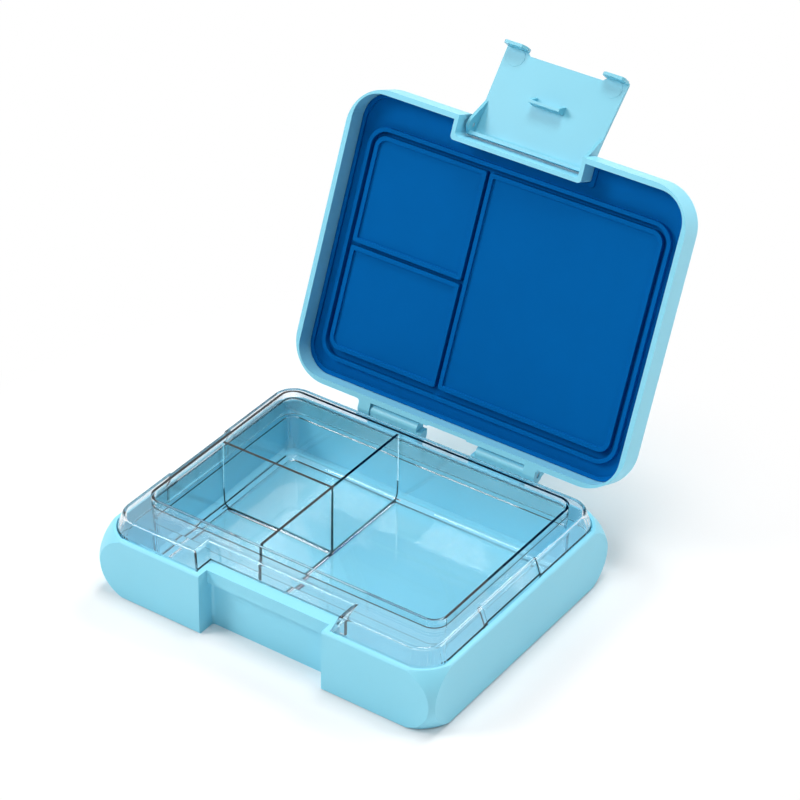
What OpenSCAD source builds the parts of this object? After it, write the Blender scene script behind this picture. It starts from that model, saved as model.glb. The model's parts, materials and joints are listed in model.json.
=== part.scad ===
// Bento lunch box: a two-part case with a latch on the front, two knuckle hinges at
// the back, a clear tray with three compartments and a seal pad inside the lid.
// Origin: centre of the base's underside. +X right, +Y towards the hinges, +Z up.
// The lid and the latch are drawn closed and then turned to their open rest pose.

/* [Case] */
// Width of the case across its front
case_w = 180; // [165:1:200]
// Depth of the case from its front face to its back face
case_d = 142; // [132:1:155]
// Height of the base, up to its rim
base_h = 31.5; // [29:0.5:36]
// Thickness of the side walls of the base and the lid
wall = 2.5; // [2:0.1:3]
// Thickness of the base's floor
floor_t = 2.4; // [1.8:0.1:3]
// Plan radius of the case's upright corners at the rim
corner_r = 20; // [16:0.5:24]
// How far the base's corners swell out below the rim
corner_swell = 6.6; // [4:0.2:7]
// Thickness of the base's wall at the corners of its rim
corner_wall = 1.4; // [1.2:0.1:2.4]
// Radius of the base's rim and bottom edges
edge_r = 1.2; // [0.6:0.1:1.6]

/* [Lid] */
// Height of the lid from its rim to its top
lid_h = 15; // [13.6:0.1:18]
// Thickness of the lid's top
lid_top_t = 2.2; // [1.6:0.1:2.4]
// Gap between the rims when the lid is closed
rim_gap = 0.3; // [0.2:0.1:0.6]
// Radius of the lid's top edge
lid_edge_r = 3.4; // [1.5:0.1:4]
// Angle at which the open lid stands
lid_open = 112; // [95:1:115]

/* [Hinge] */
// Distance of the hinge axis behind the back face
hinge_out = 3.5; // [3.4:0.1:5]
// Height of the hinge axis above the base's rim
hinge_up = 4; // [3.8:0.1:5]
// Radius of the knuckles on the base
knuckle_r = 3; // [2.6:0.1:3.1]
// Distance from the middle to a knuckle's inner end
knuckle_in = 14; // [8:0.5:20]
// Length of a knuckle with its web
knuckle_len = 28.1; // [24:0.1:34]
// Width of a hinge ear on the lid
ear_w = 6.3; // [5:0.1:8]
// Gap between an ear and its knuckle
ear_gap = 0.3; // [0.2:0.05:0.5]
// Radius of the hinge pins
pin_r = 1.25; // [1:0.05:1.4]
// Radial running clearance of a pin in the piece that turns on it
pin_play = 0.05; // [0.02:0.01:0.09]

/* [Front recess] */
// Width of the recess in the front of the base and lid
recess_w = 65.5; // [60:0.5:70]
// Depth of the recess behind the front face
recess_d = 9.8; // [9:0.1:11]
// Distance of the catch bar behind the front face
bar_in = 6; // [5.6:0.1:6.6]
// Height of the catch bar
bar_h = 6.7; // [5:0.1:8]
// Thickness of the lid's wall round the latch
pocket_wall = 2; // [1.6:0.1:2.4]

/* [Latch] */
// Thickness of the latch plate
latch_t = 1.6; // [1.3:0.1:1.9]
// Gap on each side of the latch at its tip
latch_side_gap = 0.65; // [0.4:0.05:1]
// Amount by which the latch narrows towards its pivot, on each side
latch_taper = 0.8; // [0.2:0.1:1]
// How far the closed latch stands out from the front face
latch_proud = 0.8; // [0.4:0.1:1]
// Distance of the latch's pivot behind the front face
latch_pivot_in = 4.2; // [3.9:0.1:4.3]
// Distance of the latch's pivot below the lid's top
latch_pivot_down = 4.7; // [4.4:0.1:5]
// Height of the closed latch's tip above the case's underside
latch_lift = 0.4; // [0.3:0.1:2]
// Height of the two corner grips above the plate
grip_h = 6; // [3.5:0.1:6.4]
// Length of a corner grip across the latch
grip_w = 12.6; // [9:0.2:15]
// Width of the catch rib
catch_w = 16.4; // [12:0.2:24]
// Overlap of the catch rib behind the bar
catch_bite = 0.4; // [0.2:0.1:0.8]
// Radius of the latch's pivot pins
latch_pin_r = 1; // [0.8:0.05:1.2]
// Angle of the open latch from its closed place
latch_open = 111; // [90:1:114]

/* [Tray] */
// Wall thickness of the tray
tray_t = 1.4; // [1.2:0.1:1.8]
// Gap between the tray's skirt and the base's wall
tray_gap = 0.3; // [0.2:0.1:0.6]
// How far the skirt flares out from the ledge to the rim
skirt_flare = 2.8; // [1.5:0.1:3.4]
// Radius of the skirt's top edge
skirt_r = 2; // [1.6:0.1:2.4]
// Height of the ledge above the base's rim
ledge_up = 7.9; // [6:0.1:8.1]
// Height of the lip above the ledge
lip_h = 3.5; // [2.5:0.1:3.6]
// Width of the ledge along the sides
ledge_side = 5.9; // [5:0.1:9]
// Width of the ledge along the back
ledge_back = 7.3; // [6:0.1:9]
// Width of the ledge along the front
ledge_front = 14.9; // [14.4:0.1:18]
// Plan radius of the lip's corners
lip_r = 7.5; // [6:0.5:9]
// How far the cup's walls lean in between lip and floor
cup_draft = 1.8; // [1:0.1:2.4]
// Depth of the tray's compartments below the lip
cup_depth = 36; // [30:0.5:36.5]
// Radius between the compartments' walls and floor
cup_fillet = 4; // [2.5:0.5:5]
// Place of the long divider, from the middle
long_divider_x = -15.5; // [-30:0.5:10]
// Place of the short divider, from the middle
cross_divider_y = 4.1; // [-15:0.5:15]
// Depth of the finger recesses in the tray's sides
finger_d = 0.8; // [0.4:0.1:1]
// Length of the finger recesses
finger_w = 42; // [30:1:50]

/* [Seal] */
// Gap between the seal and the lid's walls
seal_gap = 0.2; // [0.1:0.05:0.4]
// Height of the seal's ribs above the tray's ledge when closed
seal_lift = 0.6; // [0.4:0.1:1]
// Width of the seal's ribs
seal_rib = 2; // [1.2:0.1:2.2]
// Gap between the tray's lip and the seal's ribs
groove_gap = 0.5; // [0.4:0.1:0.8]
// Gap behind the seal's ribs at the back, where the closing lid swings over the lip
groove_back = 1.5; // [1.4:0.1:1.8]
// Depth of the pads between the ribs
pad_d = 1.2; // [0.8:0.1:2]

/* [Hidden] */
$fn = 48;

eps = 0.5;            // how far a fused shape reaches into its neighbour
crease = 0.3;         // by how much the corners' radius at the rim passes corner_r
rim_in_r = corner_r + crease - corner_wall;
// radius of the lid's inner corners, with the same room for the tray as in the base
lid_in_r = (sqrt(2) * (corner_r - wall) - rim_in_r) / (sqrt(2) - 1);
front_y = -case_d / 2;
back_y = case_d / 2;
side_x = case_w / 2;

// heights with the lid closed
lid_z = base_h + rim_gap;
top_z = lid_z + lid_h;
ceiling_z = top_z - lid_top_t;
ledge_z = base_h + ledge_up;
lip_z = ledge_z + lip_h;

// hinge
hinge_y = back_y + hinge_out;
hinge_z = base_h + hinge_up;
ear_r = hinge_z - lid_z;
ear_in = knuckle_in + knuckle_len + ear_gap;
ear_out = ear_in + ear_w;
pin_inset = 0.5;      // how far the pins stop inside the pieces that hold them
web_drop = 15;        // length of the knuckles' webs down the back wall
web_foot = 4;         // how far the webs' slanting face starts below the axis
rim_drop = 0.2;       // how far the webs stay below the base's rim
ear_root_h = 9;       // height of an ear's root above the axis
ear_fillet = 1.7;     // radius between an ear's sides and the lid's back wall
knuckle_step = 2.2;   // how far the web reaches past the knuckle at its inner end
web_top = 1;          // how far that end of the web stays below the axis
relief_x = 10.4;      // half width of the shallow relief between the hinges
relief_d = 0.6;       // depth of that relief

// front recess and latch
recess_x = recess_w / 2;
recess_y = front_y + recess_d;
recess_r = 1.5;       // plan radius of the recess's inner corners
pocket_r = 2;         // plan radius of the latch pocket's inner corners
bar_y = front_y + bar_in;
bar_z = base_h - bar_h;
pivot_y = front_y + latch_pivot_in;
pivot_z = top_z - latch_pivot_down;
latch_y = front_y - latch_proud;
latch_in_y = latch_y + latch_t;
latch_x = recess_x - latch_side_gap;
cap_len = 6.6;        // how far the latch's cap reaches in over the pivot
cap_r = 3.5;          // radius between the latch's plate and cap
cheek_t = 1.5;        // thickness of the latch's cheeks
cheek_drop = 13.2;    // how far the cheeks run down the plate from the pivot
cheek_r = 4.4;        // radius of the cheeks round the pivot
cheek_dir = 35;       // direction in which the free edge leaves the round end
cheek_x = latch_x - latch_taper;
tip_setback = 3;      // how far the tip's middle edge stays short of the grips
grip_t = 1.5;         // thickness of a grip
grip_in = 0.3;        // how far a grip's outer end stays inside the latch's side
grip_cut = 1;         // chamfer at a grip's outer end
grip_slant = 2;       // chamfer at a grip's inner end
tip_r = 1.6;          // radius of the tip's two outer corners
catch_t = 1.4;        // thickness of the catch rib
mark_r = 4.5;         // radius of the two ejector marks near the grips
mark_h = 0.15;        // height of an ejector mark
mark_x = 25.8;        // place of an ejector mark, from the middle
mark_up = 5.2;        // place of an ejector mark above the latch's tip
catch_clear = 0.3;    // radial gap between the swinging catch rib and the bar
catch_leg = 2.4;      // length of the catch rib's side legs
catch_foot = 0.8;     // height of the legs' far ends
catch_y = bar_y + catch_bite;
bar_reach = sqrt(pow(bar_y - pivot_y, 2) + pow(pivot_z - bar_z, 2));
catch_top_z = pivot_z - sqrt(pow(bar_reach + catch_clear, 2) - pow(bar_y - pivot_y, 2));

// tray: the skirt's foot hangs inside the base's wall, and its ledge is smaller by the flare
foot_x = side_x - wall - tray_gap;
foot_y = case_d / 2 - wall - tray_gap;
foot_r = (foot_x - side_x + corner_r - (rim_in_r - tray_gap) / sqrt(2)) / (1 - 1 / sqrt(2));
skirt_foot_z = base_h - 7.5; // lower edge of the skirt, which stands on the base's seat
seat_w = 1.5;         // width of the seat round the inside of the base's wall
notch_x = recess_x + wall + tray_gap;
notch_y = recess_y + wall + tray_gap;
cup_x = foot_x - skirt_flare - ledge_side;
cup_front = -foot_y + skirt_flare + ledge_front;
cup_back = foot_y - skirt_flare - ledge_back;
cup_mid = (cup_front + cup_back) / 2;
cup_y = (cup_back - cup_front) / 2;
cup_floor_z = lip_z - cup_depth;
cup_bottom_z = cup_floor_z - tray_t;
step_z = cup_floor_z + 22; // height of a fine step in the compartments' walls
step_d = 0.3;         // depth of that step
divider_draft = 0.3;  // how much thicker a divider is at its foot, on each side
finger_y = -4.5;      // middle of the finger recesses

// seal
seal_x = side_x - wall - seal_gap;
seal_y = case_d / 2 - wall - seal_gap;
seal_r = lid_in_r - seal_gap;
seal_low_z = ledge_z + seal_lift;
groove_z = lip_z + 0.4; // roof of the groove over the tray's lip
bead_w = 2;           // width of the seal's outer bead
bead_d = 1.2;         // how much lower than the ribs the bead is
flat_d = 2.6;         // depth of the trough between the bead and the outer rib

// ---- helpers -------------------------------------------------------------

module rounded_plan(x, y, r) {
    square([2 * (x - r), 2 * y], center = true);
    square([2 * x, 2 * (y - r)], center = true);
    for (sx = [-1, 1], sy = [-1, 1])
        translate([sx * (x - r), sy * (y - r)]) circle(r);
}

module slab(x, y, r, z0, z1) {
    translate([0, 0, z0]) linear_extrude(z1 - z0) rounded_plan(x, y, r);
}

// A profile drawn in the YZ plane, extruded along X between x0 and x1
module along_x(x0, x1) {
    translate([x0, 0, 0]) rotate([90, 0, 90]) linear_extrude(x1 - x0) children();
}

// A profile drawn in the XZ plane, extruded along Y between y0 and y1
module along_y(y0, y1) {
    translate([0, y1, 0]) rotate([90, 0, 0]) linear_extrude(y1 - y0) children();
}

// Runs a section round a rounded rectangle. The section is drawn with its first
// axis measured outwards from the corners' centres and its second axis upwards.
module run_round(x, y, r) {
    cx = x - r;
    cy = y - r;
    for (s = [0, 180]) {
        rotate([0, 0, s]) translate([cx, 0, 0]) along_y(-cy, cy) children();
        rotate([0, 0, s + 90]) translate([cy, 0, 0]) along_y(-cx, cx) children();
    }
    for (c = [[1, 1, 0], [-1, 1, 90], [-1, -1, 180], [1, -1, 270]])
        translate([c[0] * cx, c[1] * cy, 0])
            rotate([0, 0, c[2]]) rotate_extrude(angle = 90) children();
}

// Closed lid place to open rest pose
module lid_opened() {
    translate([0, hinge_y, hinge_z]) rotate([-lid_open, 0, 0])
        translate([0, -hinge_y, -hinge_z]) children();
}

// Closed latch place to open, on the closed lid
module latch_opened() {
    translate([0, pivot_y, pivot_z]) rotate([-latch_open, 0, 0])
        translate([0, -pivot_y, -pivot_z]) children();
}

// ---- base ----------------------------------------------------------------

// The case's body: flat faces that meet in corners which swell between rim and floor
module swollen_block(inset, rim_r, z0, z1) {
    x = side_x - inset;
    y = case_d / 2 - inset;
    half_h = base_h / 2;
    arc_r = (half_h * half_h + corner_swell * corner_swell) / (2 * corner_swell);
    cx = side_x - corner_r;
    cy = case_d / 2 - corner_r;
    intersection() {
        translate([-x, -y, z0]) cube([2 * x, 2 * y, z1 - z0]);
        union() {
            translate([-cx, -y, z0]) cube([2 * cx, 2 * y, z1 - z0]);
            translate([-x, -cy, z0]) cube([2 * x, 2 * cy, z1 - z0]);
            for (c = [[1, 1, 0], [-1, 1, 90], [-1, -1, 180], [1, -1, 270]])
                translate([c[0] * cx, c[1] * cy, 0]) rotate([0, 0, c[2]])
                    rotate_extrude(angle = 90) intersection() {
                        translate([0, z0]) square([side_x, z1 - z0]);
                        translate([rim_r + corner_swell - arc_r, half_h]) circle(arc_r);
                    }
        }
    }
}

// Section with rounded corners, for the case's rim and bottom edges
module edge_section(half) {
    translate([-half + edge_r, 0]) square([2 * (half - edge_r), base_h]);
    translate([-half, edge_r]) square([2 * half, base_h - 2 * edge_r]);
    for (s = [-1, 1], z = [edge_r, base_h - edge_r])
        translate([s * (half - edge_r), z]) circle(edge_r);
}

// A shape that stands in the front recess's place, grown by a margin
module recess_block(grow, z0, z1) {
    x = recess_x + grow;
    y = recess_y + grow;
    r = recess_r + grow;
    translate([0, 0, z0]) linear_extrude(z1 - z0) {
        translate([-x, front_y - 1]) square([2 * x, y - front_y + 1 - r]);
        translate([-x + r, front_y - 1]) square([2 * (x - r), y - front_y + 1]);
        for (s = [-1, 1]) translate([s * (x - r), y - r]) circle(r);
    }
}

module knuckle_section() {
    translate([hinge_y, hinge_z]) circle(knuckle_r);
    web_section(hinge_z);
}

// The web that carries a knuckle, down the back wall from a height
module web_section(top) {
    polygon([[hinge_y - knuckle_r, top], [hinge_y - knuckle_r, base_h - rim_drop],
             [back_y - eps, base_h - rim_drop], [back_y - eps, base_h - web_drop],
             [back_y, base_h - web_drop], [hinge_y + knuckle_r, hinge_z - web_foot],
             [hinge_y + knuckle_r, top]]);
}

// A knuckle on the right side; its web reaches a little further in than its barrel
module knuckle() {
    along_x(knuckle_in + knuckle_step, knuckle_in + knuckle_len) knuckle_section();
    along_x(knuckle_in, knuckle_in + knuckle_step + eps) web_section(hinge_z - web_top);
}

module base_shell() {
    color("lightskyblue") difference() {
        union() {
            difference() {
                intersection() {
                    swollen_block(0, corner_r + crease, 0, base_h);
                    along_x(-side_x, side_x) edge_section(case_d / 2);
                    along_y(front_y, back_y) edge_section(side_x);
                }
                difference() {
                    union() {
                        swollen_block(wall, rim_in_r, skirt_foot_z, base_h + 1);
                        swollen_block(wall + seat_w, rim_in_r - seat_w, floor_t, skirt_foot_z + eps);
                    }
                    recess_block(wall, 0, base_h + 2);
                }
            }
            knuckle();
            mirror([1, 0, 0]) knuckle();
        }
        difference() {
            recess_block(0, -1, base_h + 1);
            translate([-recess_x, bar_y, bar_z]) cube([recess_w, recess_d, bar_h]);
        }
        for (s = [-1, 1])
            translate([s * (knuckle_in + knuckle_step + pin_inset), hinge_y, hinge_z])
                rotate([0, s * 90, 0]) cylinder(h = knuckle_len, r = pin_r);
    }
}

// ---- lid -----------------------------------------------------------------

module lid_edge_section(r) {
    translate([0, lid_z]) square([r, lid_h - lid_edge_r]);
    translate([0, lid_z]) square([r - lid_edge_r, lid_h]);
    translate([r - lid_edge_r, top_z - lid_edge_r]) circle(lid_edge_r);
}

module lid_block() {
    cx = side_x - corner_r;
    cy = case_d / 2 - corner_r;
    translate([-cx, -cy, lid_z]) cube([2 * cx, 2 * cy, lid_h]);
    run_round(side_x, case_d / 2, corner_r) lid_edge_section(corner_r);
}

module ear_section() {
    translate([hinge_y, hinge_z]) circle(ear_r);
    polygon([[back_y - eps, lid_z], [hinge_y, lid_z], [hinge_y + ear_r, hinge_z],
             [back_y, hinge_z + ear_root_h], [back_y - eps, hinge_z + ear_root_h]]);
}

// An ear on the right side, with a fillet to the lid's back wall on its outer side
module ear() {
    along_x(ear_in, ear_out) ear_section();
    translate([0, 0, lid_z]) linear_extrude(ear_root_h / 2) difference() {
        translate([ear_out - eps, back_y - eps]) square([ear_fillet + eps, ear_fillet + eps]);
        translate([ear_out + ear_fillet, back_y + ear_fillet]) circle(ear_fillet);
    }
}

// The shallow relief in the lid's back wall between the hinges
module back_relief() {
    translate([0, 0, lid_z - 1]) linear_extrude(lid_h + 2)
        polygon([[-relief_x, back_y - relief_d], [relief_x, back_y - relief_d],
                 [relief_x + relief_d, back_y], [relief_x + relief_d, back_y + 1],
                 [-relief_x - relief_d, back_y + 1], [-relief_x - relief_d, back_y]]);
}

module pocket_plan(grow) {
    x = recess_x + grow;
    y = recess_y + grow;
    translate([-x, front_y - 1]) square([2 * x, y - front_y + 1 - pocket_r]);
    translate([-x + pocket_r, front_y - 1]) square([2 * (x - pocket_r), y - front_y + 1]);
    for (s = [-1, 1]) translate([s * (x - pocket_r), y - pocket_r]) circle(pocket_r);
}

module lid_shell() {
    color("lightskyblue") lid_opened() difference() {
        union() {
            difference() {
                lid_block();
                difference() {
                    slab(side_x - wall, case_d / 2 - wall, lid_in_r, lid_z - 1, ceiling_z);
                    translate([0, 0, lid_z - 2]) linear_extrude(lid_h + 3) pocket_plan(pocket_wall);
                }
            }
            ear();
            mirror([1, 0, 0]) ear();
        }
        back_relief();
        translate([0, 0, lid_z - 1]) linear_extrude(lid_h + 2) pocket_plan(0);
        for (s = [-1, 1]) {
            translate([s * (ear_in - 1), hinge_y, hinge_z])
                rotate([0, s * 90, 0]) cylinder(h = ear_w + 2, r = pin_r + pin_play);
            translate([s * (recess_x - 1), pivot_y, pivot_z])
                rotate([0, s * 90, 0]) cylinder(h = pocket_wall + 2, r = latch_pin_r);
        }
    }
}

// ---- seal ----------------------------------------------------------------

// Plan of one compartment [x0, x1, y0, y1], drawn in by a margin. At the back wall the
// margin is wider, because there the closing lid swings over the tray's lip.
module cell_plan(c, inset) {
    back = c[3] > cross_divider_y + tray_t ? inset + groove_back - groove_gap : inset;
    r = max(lip_r - tray_t - inset, 0.5);
    x = (c[1] - c[0]) / 2 - inset;
    y = (c[3] - c[2] - inset - back) / 2;
    translate([(c[0] + c[1]) / 2, (c[2] + inset + c[3] - back) / 2]) rounded_plan(x, y, r);
}

// The three compartments at the lip
function cells() = [
    [-cup_x + tray_t, long_divider_x - tray_t / 2, cup_front + tray_t, cross_divider_y - tray_t / 2],
    [-cup_x + tray_t, long_divider_x - tray_t / 2, cross_divider_y + tray_t / 2, cup_back - tray_t],
    [long_divider_x + tray_t / 2, cup_x - tray_t, cup_front + tray_t, cup_back - tray_t]
];

// A cut into the seal's face, as far out as a margin from the lid's wall and pocket
module face_cut(margin, depth) {
    translate([0, 0, seal_low_z - 1]) linear_extrude(1 + depth) difference() {
        rounded_plan(seal_x - margin, seal_y - margin, seal_r - margin);
        pocket_plan(pocket_wall + seal_gap + margin);
    }
}

// The outer rib's outline, which follows the tray's lip
module rib_block(grow, depth) {
    translate([0, cup_mid, 0])
        slab(cup_x + grow, cup_y + grow, lip_r + grow, seal_low_z - 2, seal_low_z + depth);
}

module lid_seal() {
    color("royalblue") lid_opened() difference() {
        slab(seal_x, seal_y, seal_r, seal_low_z, ceiling_z);
        translate([0, 0, seal_low_z - 1]) linear_extrude(20) pocket_plan(pocket_wall + seal_gap);
        // low bead along the wall, and the trough between it and the outer rib
        difference() {
            union() {
                face_cut(-1, bead_d);
                face_cut(bead_w, flat_d);
            }
            rib_block(groove_gap + seal_rib, flat_d + 1);
        }
        // groove for the tray's lip and dividers
        difference() {
            rib_block(groove_gap, groove_z - seal_low_z);
            translate([0, 0, seal_low_z - 3]) linear_extrude(10)
                for (c = cells()) cell_plan(c, groove_gap);
        }
        // pads between the ribs
        translate([0, 0, seal_low_z - 1]) linear_extrude(1 + pad_d)
            for (c = cells()) cell_plan(c, groove_gap + seal_rib);
    }
}

// ---- latch ---------------------------------------------------------------

// Side view of the plate and its cap
module latch_section() {
    tip_z = latch_lift;
    difference() {
        union() {
            translate([latch_y, tip_z]) square([cap_len, top_z - cap_r - tip_z]);
            translate([latch_y + cap_r, tip_z]) square([cap_len - cap_r, top_z - tip_z]);
            translate([latch_y + cap_r, top_z - cap_r]) circle(cap_r);
        }
        translate([latch_in_y, tip_z - 1])
            square([cap_len, top_z - cap_r - tip_z + 1]);
        translate([latch_y + cap_r, tip_z - 1])
            square([cap_len, top_z - latch_t - tip_z + 1]);
        translate([latch_y + cap_r, top_z - cap_r]) circle(cap_r - latch_t);
    }
}

// Front view of the plate: it widens to the tip, which is set back between the grips
module latch_outline() {
    tip_z = latch_lift;
    gap_x = latch_x - grip_w;
    difference() {
        union() {
            polygon([[-cheek_x, top_z + 1], [-cheek_x, pivot_z - cheek_drop],
                     [-latch_x, tip_z + tip_r], [latch_x, tip_z + tip_r],
                     [cheek_x, pivot_z - cheek_drop], [cheek_x, top_z + 1]]);
            translate([-latch_x + tip_r, tip_z]) square([2 * (latch_x - tip_r), 2 * tip_r]);
            for (s = [-1, 1]) translate([s * (latch_x - tip_r), tip_z + tip_r]) circle(tip_r);
        }
        polygon([[-gap_x - tip_setback, tip_z - 1], [-gap_x - tip_setback, tip_z],
                 [-gap_x, tip_z + tip_setback], [gap_x, tip_z + tip_setback],
                 [gap_x + tip_setback, tip_z], [gap_x + tip_setback, tip_z - 1]]);
    }
}

module cheek() {
    free_y = pivot_y + cheek_r * cos(cheek_dir);
    translate([pivot_y, pivot_z]) circle(cheek_r);
    polygon([[latch_in_y - eps, pivot_z - cheek_drop - eps], [latch_in_y, pivot_z - cheek_drop],
             [free_y, pivot_z - cheek_r * sin(cheek_dir)], [free_y, pivot_z],
             [latch_y + cap_len - eps, top_z - latch_t], [latch_y + cap_len - eps, top_z - latch_t / 2],
             [latch_y + cap_r, top_z - latch_t / 2], [latch_in_y - eps, top_z - cap_r]]);
}

module grip(s) {
    outer = latch_x - grip_in;
    inner = latch_x - grip_w + 2 * grip_in;
    top = latch_in_y + grip_h;
    translate([0, 0, latch_lift]) linear_extrude(grip_t)
        polygon([[s * (outer - tip_r), latch_in_y - eps], [s * outer, latch_in_y],
                 [s * outer, top - grip_cut], [s * (outer - grip_cut), top],
                 [s * (inner + grip_slant), top], [s * inner, top - grip_slant],
                 [s * inner, latch_in_y], [s * (inner + grip_cut), latch_in_y - eps]]);
}

module catch_rib() {
    half = catch_w / 2;
    translate([-half, latch_in_y - eps, catch_top_z - catch_t])
        cube([catch_w, catch_y - latch_in_y + eps, catch_t]);
    for (s = [-1, 1])
        along_x(s * (half - catch_t / 2) - catch_t / 2, s * (half - catch_t / 2) + catch_t / 2)
            polygon([[latch_in_y - eps, catch_top_z - catch_t / 2],
                     [catch_y, catch_top_z - catch_t / 2],
                     [catch_y, catch_top_z - catch_t],
                     [latch_in_y + catch_foot, catch_top_z - catch_t - catch_leg],
                     [latch_in_y - eps, catch_top_z - catch_t - catch_leg]]);
}

module latch() {
    color("skyblue") lid_opened() latch_opened() difference() {
        union() {
            intersection() {
                along_x(-latch_x, latch_x) latch_section();
                along_y(latch_y - 1, latch_y + cap_len + 1) latch_outline();
            }
            for (s = [-1, 1]) {
                along_x(s * (cheek_x - cheek_t / 2) - cheek_t / 2,
                        s * (cheek_x - cheek_t / 2) + cheek_t / 2)
                    cheek();
                grip(s);
            }
            catch_rib();
            for (s = [-1, 1]) translate([s * mark_x, latch_in_y + mark_h, latch_lift + mark_up])
                rotate([90, 0, 0]) cylinder(h = mark_h + eps, r = mark_r);
        }
        for (s = [-1, 1])
            translate([s * (cheek_x - cheek_t - 1), pivot_y, pivot_z])
                rotate([0, s * 90, 0]) cylinder(h = cheek_t + 2, r = latch_pin_r + pin_play);
    }
}

// ---- tray ----------------------------------------------------------------

// Section of the skirt's outside, measured outwards from a corner's centre. It leans
// in above the rim and turns over to the ledge in a rounded edge.
module skirt_section(r, inset, foot) {
    edge = skirt_r - inset;
    top = ledge_z - inset;
    rise = top - base_h;
    slope = sqrt(rise * rise + skirt_flare * skirt_flare);
    cx = r - inset - (edge * slope + skirt_flare * (rise - edge)) / rise;
    touch = [cx + edge * rise / slope, top - edge + edge * skirt_flare / slope];
    translate([cx, top - edge]) circle(edge);
    polygon([[0, foot], [r - inset, foot], [r - inset, base_h], touch,
             [cx, top - edge], [cx, top], [0, top]]);
}

// The same section for a wall that stands at x = at and faces the other way, filled
// from there to x = end
module facing_section(at, end, inset, foot) {
    translate([end, 0]) mirror([1, 0]) skirt_section(end - at, inset, foot);
}

// The volume under the ledge, drawn in by a margin on every side
module skirt_volume(inset, foot) {
    cx = foot_x - foot_r;
    cy = foot_y - foot_r;
    finger = finger_w / 2 + inset;
    intersection() {
        union() {
            translate([-cx, -cy, foot]) cube([2 * cx, 2 * cy, ledge_z - inset - foot]);
            run_round(foot_x, foot_y, foot_r) skirt_section(foot_r, inset, foot);
        }
        // behind and beside the notch over the front recess
        union() {
            along_x(-foot_x, foot_x) facing_section(notch_y, foot_y + 1, inset, foot);
            for (s = [0, 1]) mirror([s, 0, 0])
                along_y(-foot_y, foot_y) facing_section(notch_x, foot_x + 1, inset, foot);
        }
        // between the finger recesses, in front of them and behind them
        union() {
            for (s = [0, 1]) mirror([s, 0, 0])
                along_y(-foot_y, foot_y) skirt_section(foot_x - finger_d, inset, foot);
            for (y = [[-foot_y, finger_y - finger], [finger_y + finger, foot_y]])
                translate([-foot_x, y[0], foot - 1]) cube([2 * foot_x, y[1] - y[0], ledge_z - foot + 1]);
        }
    }
}

// Section of the cup's wall, measured outwards from a corner's centre. A fillet joins
// the leaning wall to the floor.
module cup_section() {
    in_top = lip_r - tray_t;
    in_foot = in_top - cup_draft;
    lean = atan((cup_draft - step_d) / (step_z - cup_floor_z));
    f = min(cup_fillet, in_foot - 0.3);
    f_r = in_foot + f * tan(lean) - f / cos(lean);
    difference() {
        polygon([[0, cup_bottom_z], [lip_r - cup_draft - f / 2, cup_bottom_z],
                 [lip_r - cup_draft, cup_bottom_z + f / 2], [lip_r, ledge_z], [lip_r, lip_z], [0, lip_z]]);
        translate([f_r, cup_floor_z + f]) circle(f);
        polygon([[-1, cup_floor_z], [f_r, cup_floor_z],
                 [f_r + f * cos(lean), cup_floor_z + f - f * sin(lean)], [in_top - step_d, step_z],
                 [in_top, step_z + step_d], [in_top, lip_z + 1], [-1, lip_z + 1]]);
    }
}

module divider_section(thick) {
    f = cup_fillet / 2;
    half = thick / 2;
    polygon([[-half - divider_draft, cup_floor_z - eps], [half + divider_draft, cup_floor_z - eps],
             [half, lip_z], [-half, lip_z]]);
    difference() {
        translate([-half - f, cup_floor_z - eps]) square([2 * (half + f), f + eps]);
        for (s = [-1, 1]) translate([s * (half + f), cup_floor_z + f]) circle(f);
    }
}

module tray() {
    color("lightcyan") {
        difference() {
            skirt_volume(0, skirt_foot_z);
            skirt_volume(tray_t, skirt_foot_z - 1);
            translate([0, cup_mid, 0])
                slab(cup_x - tray_t / 2, cup_y - tray_t / 2, lip_r - tray_t / 2,
                     ledge_z - 2 * tray_t, ledge_z + 1);
        }
        translate([0, cup_mid, 0]) {
            run_round(cup_x, cup_y, lip_r) cup_section();
            translate([-cup_x + lip_r, -cup_y + lip_r, cup_bottom_z])
                cube([2 * (cup_x - lip_r), 2 * (cup_y - lip_r), tray_t]);
        }
        translate([long_divider_x, 0, 0])
            along_y(cup_front + cup_draft + tray_t / 2, cup_back - cup_draft - tray_t / 2)
                divider_section(tray_t);
        translate([0, cross_divider_y, 0])
            along_x(-cup_x + cup_draft + tray_t / 2, long_divider_x) divider_section(tray_t);
    }
}

// ---- pins ----------------------------------------------------------------

module hinge_pin(s) {
    inner = knuckle_in + knuckle_step + pin_inset;
    color("silver") translate([s * inner, hinge_y, hinge_z])
        rotate([0, s * 90, 0]) cylinder(h = ear_out - pin_inset - inner, r = pin_r);
}

module latch_pin(s) {
    color("silver") lid_opened() translate([s * (cheek_x - cheek_t), pivot_y, pivot_z])
        rotate([0, s * 90, 0])
            cylinder(h = recess_x + pocket_wall - cheek_x + cheek_t - pin_inset, r = latch_pin_r);
}

module hinge_pin_left() { hinge_pin(-1); }
module hinge_pin_right() { hinge_pin(1); }
module latch_pin_left() { latch_pin(-1); }
module latch_pin_right() { latch_pin(1); }

base_shell();
lid_shell();
lid_seal();
latch();
tray();
hinge_pin_left();
hinge_pin_right();
latch_pin_left();
latch_pin_right();
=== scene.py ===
# %% [markdown]
# # A bento lunch box with a clear tray
#
# The case is two moulded shells that open on a pair of pin hinges. A silicone pad is
# pressed into the lid, a clear copolyester tray drops into the base, and a fold-over
# latch turns on two short pins. The solids already hold every size. Here each piece gets
# the soft edges, the surface and the colour that its mould and its plastic give it.

import json
import math

import bmesh
import bpy
from mathutils import Matrix, Vector


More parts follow.
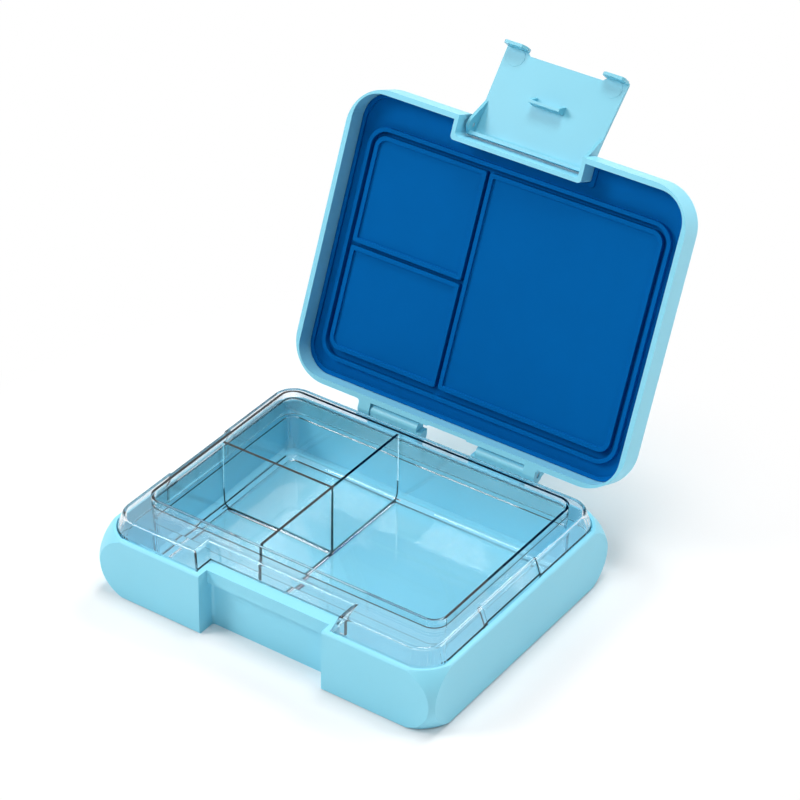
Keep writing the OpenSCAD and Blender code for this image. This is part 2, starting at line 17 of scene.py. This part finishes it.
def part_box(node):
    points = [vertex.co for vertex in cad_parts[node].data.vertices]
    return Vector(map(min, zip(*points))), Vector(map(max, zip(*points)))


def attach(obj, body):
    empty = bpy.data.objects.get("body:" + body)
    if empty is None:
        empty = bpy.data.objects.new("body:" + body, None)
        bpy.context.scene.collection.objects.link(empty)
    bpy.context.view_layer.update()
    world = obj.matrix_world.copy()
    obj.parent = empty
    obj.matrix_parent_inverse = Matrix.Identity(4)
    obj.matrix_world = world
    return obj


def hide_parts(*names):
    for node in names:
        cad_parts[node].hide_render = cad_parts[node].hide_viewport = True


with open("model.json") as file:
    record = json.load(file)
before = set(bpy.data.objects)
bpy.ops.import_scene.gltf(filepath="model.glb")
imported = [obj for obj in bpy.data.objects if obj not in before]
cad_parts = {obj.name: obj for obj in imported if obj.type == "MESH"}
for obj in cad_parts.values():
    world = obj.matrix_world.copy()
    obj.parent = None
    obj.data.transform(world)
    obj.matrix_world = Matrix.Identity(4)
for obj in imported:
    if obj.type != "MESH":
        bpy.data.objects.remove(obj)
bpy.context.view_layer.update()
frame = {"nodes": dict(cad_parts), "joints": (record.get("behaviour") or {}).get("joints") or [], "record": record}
print("solids:", sorted(frame["nodes"]))

# %% [markdown]
# ## Sizes and colours
#
# The solids are in metres with the origin under the middle of the base. Every length
# below is written in millimetres, as on a mould drawing, and multiplied by MM. Colours
# are written as the hex codes that a colour picker shows, and a shader needs them linear.

# %% Millimetres and linear colour
MM = 0.001


def linear(code):
    """An sRGB hex colour as linear RGBA, which is what shader sockets expect."""
    channels = [int(code[i:i + 2], 16) / 255 for i in (1, 3, 5)]
    return [c / 12.92 if c <= 0.04045 else ((c + 0.055) / 1.055) ** 2.4 for c in channels] + [1.0]


print("mid grey in linear light:", round(linear("#808080")[0], 3))

# %% [markdown]
# ## Adding nodes
#
# A shader and a geometry tree are both built from nodes, so one small function serves
# for all of them. It adds a node, sets its properties and sockets, and links its inputs.


# %% One helper for every kind of node
def add(tree, kind, links=(), **settings):
    """Adds a node. A setting named like a property is set on the node, and any other
    names an input socket, with spaces written as underscores. links pairs an input
    with the output that feeds it."""
    node = tree.nodes.new(kind)
    for name, value in settings.items():
        if hasattr(node, name):
            setattr(node, name, value)
        else:
            node.inputs[name.replace("_", " ")].default_value = value
    for socket, source in links:
        tree.links.new(source, node.inputs[socket])
    return node


def new_material(name):
    """A material with an empty node tree, and its output node."""
    material = bpy.data.materials.new(name)
    material.use_nodes = True
    material.node_tree.nodes.clear()
    return material, material.node_tree, material.node_tree.nodes.new("ShaderNodeOutputMaterial")


# %% [markdown]
# ## Camera
#
# A long lens looks down on the front right corner, which keeps the box's edges nearly
# parallel. The camera's axes are worked out from the angle round the box, the height
# above it and a slight roll, so that no aiming constraint is needed.

# %% Camera
CAMERA_TARGET = Vector((13.03, 14.37, 95.27)) * MM
CAMERA_AZIMUTH, CAMERA_HEIGHT, CAMERA_ROLL = (math.radians(a) for a in (33.92, 33.82, 1.19))
CAMERA_DISTANCE = 1317.5 * MM
CAMERA_LENS, SENSOR_WIDTH = 136.99, 36

back = Vector((math.sin(CAMERA_AZIMUTH) * math.cos(CAMERA_HEIGHT),
               -math.cos(CAMERA_AZIMUTH) * math.cos(CAMERA_HEIGHT),
               math.sin(CAMERA_HEIGHT)))
right = Vector((math.cos(CAMERA_AZIMUTH), math.sin(CAMERA_AZIMUTH), 0))
up = back.cross(right)
rolled_right = right * math.cos(CAMERA_ROLL) + up * math.sin(CAMERA_ROLL)
rolled_up = up * math.cos(CAMERA_ROLL) - right * math.sin(CAMERA_ROLL)

camera = bpy.data.objects.new("camera", bpy.data.cameras.new("camera"))
camera.data.lens = CAMERA_LENS
camera.data.sensor_width = SENSOR_WIDTH
camera.data.clip_start = 50 * MM
camera.matrix_world = Matrix.Translation(CAMERA_TARGET + back * CAMERA_DISTANCE) @ Matrix(
    (rolled_right, rolled_up, back)).transposed().to_4x4()
bpy.context.scene.collection.objects.link(camera)
bpy.context.scene.camera = camera
bpy.context.scene.view_settings.view_transform = "Standard"
print("camera at", [round(v, 3) for v in camera.matrix_world.translation])

# %% [markdown]
# ## World
#
# The room is white, for the camera and for what is mirrored or seen through the tray.
# Matt surfaces get only a faint, even fill from it, so that the lamps shape the object
# and the inside of the box keeps its deep tone.

# %% World
world = bpy.data.worlds.new("white room")
world.use_nodes = True
world.node_tree.nodes.clear()
wt = world.node_tree
ray = add(wt, "ShaderNodeLightPath")
fill = add(wt, "ShaderNodeBackground", Color=linear("#f4f8ff"), Strength=0.08)
white = add(wt, "ShaderNodeBackground", Color=(1, 1, 1, 1), Strength=1.0)
mirrored = add(wt, "ShaderNodeMath",
               [(0, ray.outputs["Is Glossy Ray"]), (1, ray.outputs["Is Transmission Ray"])],
               operation="MAXIMUM")
sharp = add(wt, "ShaderNodeMath", [(0, ray.outputs["Is Camera Ray"]), (1, mirrored.outputs[0])],
            operation="MAXIMUM")
seen = add(wt, "ShaderNodeMixShader",
           [(0, sharp.outputs[0]), (1, fill.outputs[0]), (2, white.outputs[0])])
add(wt, "ShaderNodeOutputWorld", [("Surface", seen.outputs[0])])
bpy.context.scene.world = world
print("fill", fill.inputs["Strength"].default_value, "white", white.inputs["Strength"].default_value)

# %% [markdown]
# ## Lamps
#
# Most light falls from overhead, and fills the open box through its clear tray. The key
# soft box, high on the left of the camera, gives the ribs of the seal their shadows. One
# behind the lid and one on the right lift the rims and the side of the box, and a weak
# one in front fills the front wall. All stand far off, so that the light is even. None is
# seen through the tray, whose bent light would show them as sharp white patches.


# %% Soft boxes
LAMP_DISTANCE, LAMP_SIZE = 2600, 1000
LAMP_AIM = Vector((0, 0, 60))


def soft_box(name, heading, level):
    """A square area lamp seen from the box in a direction. level is the brightness of a
    white card that faces the lamp, so 1 renders a colour as it is written."""
    lamp = bpy.data.lights.new(name, "AREA")
    lamp.size = LAMP_SIZE * MM
    lamp.energy = level * (math.pi * LAMP_DISTANCE * MM) ** 2
    box = bpy.data.objects.new(name, lamp)
    direction = Vector(heading).normalized()
    box.rotation_mode = "QUATERNION"
    box.rotation_quaternion = direction.to_track_quat("Z", "Y")
    box.location = (LAMP_AIM + direction * LAMP_DISTANCE) * MM
    box.visible_transmission = False
    bpy.context.scene.collection.objects.link(box)
    print(name, "at", [round(v, 2) for v in box.location], round(lamp.energy, 1), "W")


soft_box("key soft box", (-0.61, -0.50, 0.62), 0.52)
soft_box("overhead soft box", (0.0, 0.10, 0.99), 0.50)
soft_box("back soft box", (0.0, 0.70, 0.71), 0.32)
soft_box("side soft box", (0.71, 0.43, 0.50), 0.28)
soft_box("front soft box", (0.0, -0.75, 0.66), 0.17)

# %% [markdown]
# ## Floor
#
# A sweep of white paper. Near the box it is plain paper that takes the shadow. Further
# out, for the camera alone, it blends into pure white, as a paper sweep does where it is
# lit from behind. Nothing else in the scene sees that white, so it adds no light.

# %% Floor
FLOOR_SIZE, FLOOR_DROP = 12000, 0.05
SHADOW_REACH, WHITE_FROM = 100, 240

bpy.ops.mesh.primitive_plane_add(size=FLOOR_SIZE * MM, location=(0, 0, -FLOOR_DROP * MM))
floor = bpy.context.object
floor.name = "floor"
paper, tree, output = new_material("white paper sweep")
ray = add(tree, "ShaderNodeLightPath")
where = add(tree, "ShaderNodeTexCoord")
far = add(tree, "ShaderNodeVectorMath", [(0, where.outputs["Object"])], operation="LENGTH")
blend = add(tree, "ShaderNodeMapRange", [("Value", far.outputs["Value"])],
            interpolation_type="SMOOTHSTEP", From_Min=SHADOW_REACH * MM, From_Max=WHITE_FROM * MM)
seen = add(tree, "ShaderNodeMath", [(0, ray.outputs["Is Camera Ray"]), (1, blend.outputs[0])],
           operation="MULTIPLY")
fibre = add(tree, "ShaderNodeBsdfDiffuse", Color=(0.93, 0.93, 0.93, 1), Roughness=0.5)
glow = add(tree, "ShaderNodeEmission", Color=(1, 1, 1, 1), Strength=1.0)
mix = add(tree, "ShaderNodeMixShader",
          [(0, seen.outputs[0]), (1, fibre.outputs[0]), (2, glow.outputs[0])])
tree.links.new(mix.outputs[0], output.inputs["Surface"])
floor.data.materials.append(paper)
print("floor below the box by", FLOOR_DROP, "mm, white from", WHITE_FROM, "mm out")

# %% [markdown]
# ## Polypropylene for the case and the latch
#
# Both are injection moulded in a satin mould, of one and the same plastic. The latch's darker colour is painted
# shade: it is drawn darker to tone down the light that falls on the latch plate. What the eye gets is one clean
# colour, a broad soft sheen, and next to no texture: a fine grain of about 0.4 mm from the sparked mould, and
# wide, faint flow marks where the melt cooled at different speeds. The grain is drawn three times as coarse as it
# is, so that it shows at all, and the flow marks change the tint by one part in fifty.

# %% Satin polypropylene
GRAIN, FLOW_MARK = 1.2, 45


def satin_polypropylene(name, code, deep_code):
    """Satin plastic whose tint wanders between two colours."""
    material, tree, output = new_material(name)
    where = add(tree, "ShaderNodeTexCoord")
    grain = add(tree, "ShaderNodeTexNoise", [("Vector", where.outputs["Object"])],
                Scale=1 / (GRAIN * MM), Detail=3.0, Roughness=0.6)
    flow = add(tree, "ShaderNodeTexNoise", [("Vector", where.outputs["Object"])],
               Scale=1 / (FLOW_MARK * MM), Detail=2.0, Distortion=0.6)
    tint = add(tree, "ShaderNodeMix", [("Factor", flow.outputs["Fac"])], data_type="RGBA")
    tint.inputs["A"].default_value = linear(code)
    tint.inputs["B"].default_value = linear(deep_code)
    sheen = add(tree, "ShaderNodeMapRange", [("Value", grain.outputs["Fac"])], To_Min=0.33, To_Max=0.43)
    relief = add(tree, "ShaderNodeBump", [("Height", grain.outputs["Fac"])],
                 Strength=0.12, Distance=0.02 * MM)
    shade = add(tree, "ShaderNodeBsdfPrincipled",
                [("Base Color", tint.outputs["Result"]), ("Roughness", sheen.outputs[0]),
                 ("Normal", relief.outputs[0])], IOR=1.49)
    tree.links.new(shade.outputs[0], output.inputs["Surface"])
    print(name, "from", code, "to", deep_code)
    return material


case_plastic = satin_polypropylene("moulded polypropylene, light blue", "#8edaef", "#89d7ed")
# the latch: the case's plastic drawn darker, as painted shade on the latch plate
latch_plastic_painted_shade = satin_polypropylene("moulded polypropylene, light blue, painted shade", "#78c6db", "#75c3d8")

# %% [markdown]
# ## Silicone for the seal
#
# Pressed silicone is matt: its pigment is deep, its skin scatters, and only a very weak
# sheen is left at the edges of the ribs. It draws fine dust, which reads as a faint
# mottle, so the colour wanders a little over two centimetres and a fine tooth of half a
# millimetre breaks up the sheen.

# %% Pressed silicone
MOTTLE, TOOTH = 22, 0.5

silicone, tree, output = new_material("pressed silicone, deep blue")
where = add(tree, "ShaderNodeTexCoord")
mottle = add(tree, "ShaderNodeTexNoise", [("Vector", where.outputs["Object"])],
             Scale=1 / (MOTTLE * MM), Detail=4.0)
tooth = add(tree, "ShaderNodeTexNoise", [("Vector", where.outputs["Object"])],
            Scale=1 / (TOOTH * MM), Detail=2.0)
tint = add(tree, "ShaderNodeMix", [("Factor", mottle.outputs["Fac"])], data_type="RGBA")
tint.inputs["A"].default_value = linear("#0061a9")
tint.inputs["B"].default_value = linear("#005ca1")
skin = add(tree, "ShaderNodeBump", [("Height", tooth.outputs["Fac"])], Strength=0.15, Distance=0.02 * MM)
shade = add(tree, "ShaderNodeBsdfPrincipled",
            [("Base Color", tint.outputs["Result"]), ("Normal", skin.outputs[0])],
            IOR=1.41, Roughness=0.6, Specular_IOR_Level=0.03)
tree.links.new(shade.outputs[0], output.inputs["Surface"])
print("silicone mottle every", MOTTLE, "mm")

# %% [markdown]
# ## Copolyester for the tray
#
# The tray is a clear copolyester, which bends light a little more than glass does. Long
# paths through a rim or a divider turn a smoky violet, and that is what a volume colour
# does and a surface colour can't. The mould's polish leaves a long, faint waviness that
# makes the highlights wander. Light that passes the tray loses a few hundredths at each
# wall. The rays that look for lamps, and those that bounce off the matt plastic below,
# are told so with a transparent shader. Bent light would find the lamps by chance alone,
# which leaves grain all over the inside of the box, and would be counted twice where it
# does.

# %% Clear copolyester
WAVE = 14

clear, tree, output = new_material("moulded copolyester, clear")
where = add(tree, "ShaderNodeTexCoord")
waves = add(tree, "ShaderNodeTexNoise", [("Vector", where.outputs["Object"])],
            Scale=1 / (WAVE * MM), Detail=1.0)
polish = add(tree, "ShaderNodeBump", [("Height", waves.outputs["Fac"])],
             Strength=0.05, Distance=0.05 * MM)
body = add(tree, "ShaderNodeBsdfPrincipled", [("Normal", polish.outputs[0])],
           Base_Color=(1, 1, 1, 1), Roughness=0.02, IOR=1.56, Transmission_Weight=1.0)
through = add(tree, "ShaderNodeBsdfTransparent", Color=(0.95, 0.985, 0.99, 1))
ray = add(tree, "ShaderNodeLightPath")
to_lamps = add(tree, "ShaderNodeMixShader",
               [(0, ray.outputs["Is Shadow Ray"]), (1, body.outputs[0]), (2, through.outputs[0])])
bounced = add(tree, "ShaderNodeMixShader",
              [(0, ray.outputs["Is Diffuse Ray"]), (1, to_lamps.outputs[0]), (2, through.outputs[0])])
absorb = add(tree, "ShaderNodeVolumeAbsorption", Color=linear("#b8a4b8"), Density=15.0)
tree.links.new(bounced.outputs[0], output.inputs["Surface"])
tree.links.new(absorb.outputs[0], output.inputs["Volume"])
print("copolyester with an index of", body.inputs["IOR"].default_value)

# %% [markdown]
# ## Stainless wire for the pins
#
# The pins are cut from drawn wire. Drawing leaves long fine scratches along the axis,
# so the roughness varies quickly round the pin and slowly along it, which is noise that
# is stretched forty times in X.

# %% Drawn stainless wire
SCRATCH, STRETCH = 0.12, 40

steel, tree, output = new_material("drawn stainless wire")
where = add(tree, "ShaderNodeTexCoord")
along = add(tree, "ShaderNodeMapping", [("Vector", where.outputs["Object"])],
            Scale=(1 / STRETCH, 1, 1))
scratch = add(tree, "ShaderNodeTexNoise", [("Vector", along.outputs[0])],
              Scale=1 / (SCRATCH * MM), Detail=3.0)
rough = add(tree, "ShaderNodeMapRange", [("Value", scratch.outputs["Fac"])], To_Min=0.2, To_Max=0.42)
groove = add(tree, "ShaderNodeBump", [("Height", scratch.outputs["Fac"])],
             Strength=0.2, Distance=0.01 * MM)
shade = add(tree, "ShaderNodeBsdfPrincipled",
            [("Roughness", rough.outputs[0]), ("Normal", groove.outputs[0])],
            Base_Color=linear("#c4c6c9"), Metallic=1.0)
tree.links.new(shade.outputs[0], output.inputs["Surface"])
print("scratches", SCRATCH, "mm apart")

# %% [markdown]
# ## From solids to moulded pieces
#
# A solid arrives as loose triangles with perfectly sharp edges. A moulded edge never is:
# the cutter that made the mould leaves a radius, and that radius catches the light. Each
# piece is a copy whose triangles are merged, and every sharp edge then gets a small
# bevel. The bevel's width is set edge by edge: full on a sharp edge, and fading out on
# the lens-shaped creases of the base's corners, which stay crisp but soft-shouldered.

# %% Which finish, slot and body each solid has
FINISH = {"case": case_plastic, "latch": latch_plastic_painted_shade, "seal": silicone, "tray": clear, "pins": steel}
SLOT = {entry["node"]: entry["material_slot"] for entry in frame["record"]["subparts"]}
BODY = {node: body for body, nodes in frame["record"]["behaviour"]["bodies"].items() for node in nodes}
print(SLOT)


# %% Let a piece move with its solid
def declare(piece, node):
    """Lets a piece move with its solid's body, and hides the solid."""
    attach(piece, BODY[node])
    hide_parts(node)


# %% Merge, mark and bevel a copy
MERGE = 0.01            # points closer than this become one
FLAT = 0.5              # faces that bend less than this, in degrees, become one
CREASE, FULL = 6, 24    # bends, in degrees, where rounding starts and is complete
CRISP_SHARE = 0.2       # what is left of the radius on edges that stay crisp
BEVEL_STEPS = 3
LARGE_FACE = 100        # how strongly a large face keeps its neighbours' shading flat


def moulded(node, radius, crisp_below=0.0, reshape=None):
    """A copy of a solid with rounded edges. Those lower than crisp_below stay crisp.
    reshape is a function that may change the merged copy first."""
    mesh = frame["nodes"][node].data.copy()
    bm = bmesh.new()
    bm.from_mesh(mesh)
    bmesh.ops.remove_doubles(bm, verts=bm.verts, dist=MERGE * MM)
    bmesh.ops.dissolve_degenerate(bm, edges=bm.edges, dist=MERGE * MM)
    bmesh.ops.dissolve_limit(bm, angle_limit=math.radians(FLAT), verts=bm.verts, edges=bm.edges)
    if reshape:
        reshape(bm)
    weight = bm.edges.layers.float.new("bevel_weight_edge")
    for face in bm.faces:
        face.smooth = True
    for edge in bm.edges:
        bend = math.degrees(edge.calc_face_angle(0.0))
        low = max(vertex.co.z for vertex in edge.verts) < crisp_below * MM
        rounding = min(max((bend - CREASE) / (FULL - CREASE), 0.0), 1.0)
        edge[weight] = rounding * (CRISP_SHARE if low else 1.0)
    bm.to_mesh(mesh)
    bm.free()
    piece = bpy.data.objects.new(node + "_piece", mesh)
    bpy.context.scene.collection.objects.link(piece)
    mesh.materials.clear()
    mesh.materials.append(FINISH[SLOT[node]])
    bevel = piece.modifiers.new("rounded edges", "BEVEL")
    bevel.width = radius * MM
    bevel.segments = BEVEL_STEPS
    bevel.limit_method = "WEIGHT"
    weights = piece.modifiers.new("flat faces stay flat", "WEIGHTED_NORMAL")
    weights.keep_sharp = True
    weights.weight = LARGE_FACE
    declare(piece, node)
    print(piece.name, len(piece.data.polygons), "faces")


# %% Base, lid, latch and tray
TRAY_FOOT = 8.0    # the skirt's lowest edges, where a wide rounding would bend light oddly

moulded("base_shell", radius=0.5)
moulded("lid_shell", radius=0.45)
moulded("latch", radius=0.3)
moulded("tray", radius=0.5, crisp_below=TRAY_FOOT)

# %% [markdown]
# ## The seal's compartments
#
# Under the lid a framed pad closes each compartment of the tray, and the tray's dividers
# stand in the narrow grooves between the frames. Where frames meet, their corners are
# nearly square, because that part of the mould was cut in straight lines. Only the outer
# corners are as round as the tray. The solid gives every corner the same radius, so its
# three pads are cut off at the bottom of the groove and new ones are set in their place.
# Each is a rib that runs all round, with a sunk pad inside. The mesh is turned shut for
# this, since every level of the seal is then a height.

# %% Sizes of the frames, with the lid shut
LEFT, RIGHT, FRONT, BACK = -77.1, 77.1, -49.1, 56.7    # outer walls of the compartments
LONG_DIVIDER = (-16.2, -14.8)    # left and right face of the one from front to back
CROSS_DIVIDER = (3.4, 4.8)       # front and back face of the one that splits the left side
GAP, BACK_GAP = 0.2, 1.5         # room round a frame, and behind it for the lid's swing
GROOVE_Z, RIB_Z, PAD_Z = 43.3, 40.0, 41.2
RIB_W = 2.1
ROUND_R, SQUARE_R = 5.9, 1.1     # corners at the outside, and where frames meet
LEAST_R = 0.5                    # smallest corner radius at a rib's inner side
ROOT = 0.1                       # how far a frame reaches into the bottom of the groove
CORNER_STEPS = 8

# left, right, front and back of each frame, and which of its corners are round, from the
# front left anticlockwise as seen from above
FRAMES = (
    (LEFT + GAP, LONG_DIVIDER[0] - GAP, FRONT + GAP, CROSS_DIVIDER[0] - GAP,
     (True, False, False, False)),
    (LEFT + GAP, LONG_DIVIDER[0] - GAP, CROSS_DIVIDER[1] + GAP, BACK - BACK_GAP,
     (False, False, False, True)),
    (LONG_DIVIDER[1] + GAP, RIGHT - GAP, FRONT + GAP, BACK - BACK_GAP,
     (False, True, True, False)),
)
print("ribs", RIB_W, "mm wide and", round(GROOVE_Z - RIB_Z, 1), "mm high round", len(FRAMES), "pads")


# %% A frame's outline
def outline(plan, inset):
    """Points round a frame, drawn in by an inset, in millimetres."""
    left, right, front, back, rounded = plan
    corners = ((left, front, 180), (right, front, 270), (right, back, 0), (left, back, 90))
    points = []
    for (x, y, start), is_round in zip(corners, rounded):
        r = max((ROUND_R if is_round else SQUARE_R) - inset, LEAST_R)
        cx = x + (inset + r) * (1 if x == left else -1)
        cy = y + (inset + r) * (1 if y == front else -1)
        for i in range(CORNER_STEPS + 1):
            turn = math.radians(start + 90 * i / CORNER_STEPS)
            points.append((cx + r * math.cos(turn), cy + r * math.sin(turn)))
    return points


# %% Cut off the old pads
LEVEL_MARGIN, SIDE_MARGIN = 0.05, 0.2


def on_pad(vertex):
    """Whether a point of the shut seal is on one of the three old pads or their ribs. They
    lie inside the new frames, except that both end at the same back edge."""
    x, y, z = vertex.co / MM
    return z < GROOVE_Z + LEVEL_MARGIN and any(
        left + SIDE_MARGIN < x < right - SIDE_MARGIN and front + SIDE_MARGIN < y < back + SIDE_MARGIN
        for left, right, front, back, _ in FRAMES)


def cut_pads(bm):
    """Deletes the pads and closes the holes that they leave."""
    old = [face for face in bm.faces if all(on_pad(vertex) for vertex in face.verts)]
    bmesh.ops.delete(bm, geom=old, context="FACES")
    holes = [edge for edge in bm.edges if edge.is_boundary]
    bmesh.ops.holes_fill(bm, edges=holes, sides=0)
    print("seal:", len(old), "faces cut off")


# %% Set the new frames
def add_frame(bm, plan):
    """Builds one frame from its root over the rib and down to the pad, as a closed shape."""
    section = ((0, GROOVE_Z + ROOT), (0, RIB_Z), (RIB_W, RIB_Z), (RIB_W, PAD_Z))
    rings = [[bm.verts.new(Vector((x, y, z)) * MM) for x, y in outline(plan, inset)]
             for inset, z in section]
    for outer, inner in zip(rings, rings[1:]):
        for i in range(len(outer)):
            j = (i + 1) % len(outer)
            bm.faces.new((outer[i], inner[i], inner[j], outer[j]))
    bm.faces.new(rings[0])
    bm.faces.new(rings[-1][::-1])


def reframe(bm):
    """Swaps the framed pads of the seal, with the lid turned shut meanwhile."""
    hinge = next(joint for joint in frame["joints"] if joint["name"] == "lid_hinge")
    pivot = Matrix.Translation(Vector(hinge["pos_m"]))
    swing = Matrix.Rotation(math.radians(hinge["range_deg"][1]), 4, Vector(hinge["axis"]))
    shut = pivot @ swing @ pivot.inverted()
    bm.transform(shut)
    cut_pads(bm)
    for plan in FRAMES:
        add_frame(bm, plan)
    bmesh.ops.recalc_face_normals(bm, faces=bm.faces)
    bm.transform(shut.inverted())


moulded("lid_seal", radius=0.5, reshape=reframe)

# %% [markdown]
# ## Four pins from one recipe
#
# The hinges and the latch turn on four pins that differ only in length and thickness.
# That is a job for Geometry Nodes: one tree makes a pin from its radius, its length and
# the chamfer at its ends, and each pin is the same tree with other numbers. The numbers
# are read off the solids' boxes, so a pin always fits its bore.

# %% The pin tree
pin_tree = bpy.data.node_groups.new("wire pin", "GeometryNodeTree")
for name in ("Radius", "Length", "Chamfer"):
    pin_tree.interface.new_socket(name, in_out="INPUT", socket_type="NodeSocketFloat")
pin_tree.interface.new_socket("Place", in_out="INPUT", socket_type="NodeSocketVector")
pin_tree.interface.new_socket("Geometry", in_out="OUTPUT", socket_type="NodeSocketGeometry")
given = add(pin_tree, "NodeGroupInput")
ends = add(pin_tree, "ShaderNodeMath", [(0, given.outputs["Chamfer"])], operation="MULTIPLY")
ends.inputs[1].default_value = 2.0
shank = add(pin_tree, "ShaderNodeMath",
            [(0, given.outputs["Length"]), (1, ends.outputs[0])], operation="SUBTRACT")
rod = add(pin_tree, "GeometryNodeMeshCylinder",
          [("Radius", given.outputs["Radius"]), ("Depth", shank.outputs[0])], Vertices=40)
faces = add(pin_tree, "FunctionNodeBooleanMath", [(0, rod.outputs["Top"]), (1, rod.outputs["Bottom"])],
            operation="OR")
tips = add(pin_tree, "GeometryNodeExtrudeMesh",
           [("Mesh", rod.outputs["Mesh"]), ("Selection", faces.outputs[0]),
            ("Offset Scale", given.outputs["Chamfer"])], mode="FACES")
narrow = add(pin_tree, "ShaderNodeMath", [(0, given.outputs["Chamfer"]), (1, given.outputs["Radius"])],
             operation="DIVIDE")
narrow_to = add(pin_tree, "ShaderNodeMath", [(1, narrow.outputs[0])], operation="SUBTRACT")
narrow_to.inputs[0].default_value = 1.0
cone = add(pin_tree, "GeometryNodeScaleElements",
           [("Geometry", tips.outputs["Mesh"]), ("Selection", tips.outputs["Top"]),
            ("Scale", narrow_to.outputs[0])])
placed = add(pin_tree, "GeometryNodeTransform",
             [("Geometry", cone.outputs[0]), ("Translation", given.outputs["Place"])],
             Rotation=(0, math.radians(90), 0))
whole = add(pin_tree, "GeometryNodeRealizeInstances", [("Geometry", placed.outputs[0])])
dressed = add(pin_tree, "GeometryNodeSetMaterial", [("Geometry", whole.outputs[0])], Material=steel)
add(pin_tree, "NodeGroupOutput", [("Geometry", dressed.outputs[0])])
SOCKET = {item.name: item.identifier for item in pin_tree.interface.items_tree if item.in_out == "INPUT"}
print("pin tree inputs:", sorted(SOCKET))


# %% The pins
def wire_pin(node, chamfer):
    """Bakes the pin tree to the size and place of a pin's solid."""
    low, high = (Vector(corner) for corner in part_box(node))
    radius, length = (high.z - low.z) / 2, high.x - low.x
    seed = bpy.data.objects.new(node + "_seed", bpy.data.meshes.new(node + "_seed"))
    bpy.context.scene.collection.objects.link(seed)
    recipe = seed.modifiers.new("pin", "NODES")
    recipe.node_group = pin_tree
    recipe[SOCKET["Radius"]] = radius
    recipe[SOCKET["Length"]] = length
    recipe[SOCKET["Chamfer"]] = chamfer * MM
    recipe[SOCKET["Place"]] = (low + high) / 2
    evaluated = seed.evaluated_get(bpy.context.evaluated_depsgraph_get())
    mesh = bpy.data.meshes.new_from_object(evaluated)
    bpy.data.objects.remove(seed)
    for face in mesh.polygons:
        face.use_smooth = len(face.vertices) == 4
    piece = bpy.data.objects.new(node + "_piece", mesh)
    bpy.context.scene.collection.objects.link(piece)
    declare(piece, node)
    print(piece.name, "radius", round(radius / MM, 2), "length", round(length / MM, 2))


for end in ("left", "right"):
    wire_pin("hinge_pin_" + end, chamfer=0.25)
for end in ("left", "right"):
    wire_pin("latch_pin_" + end, chamfer=0.2)
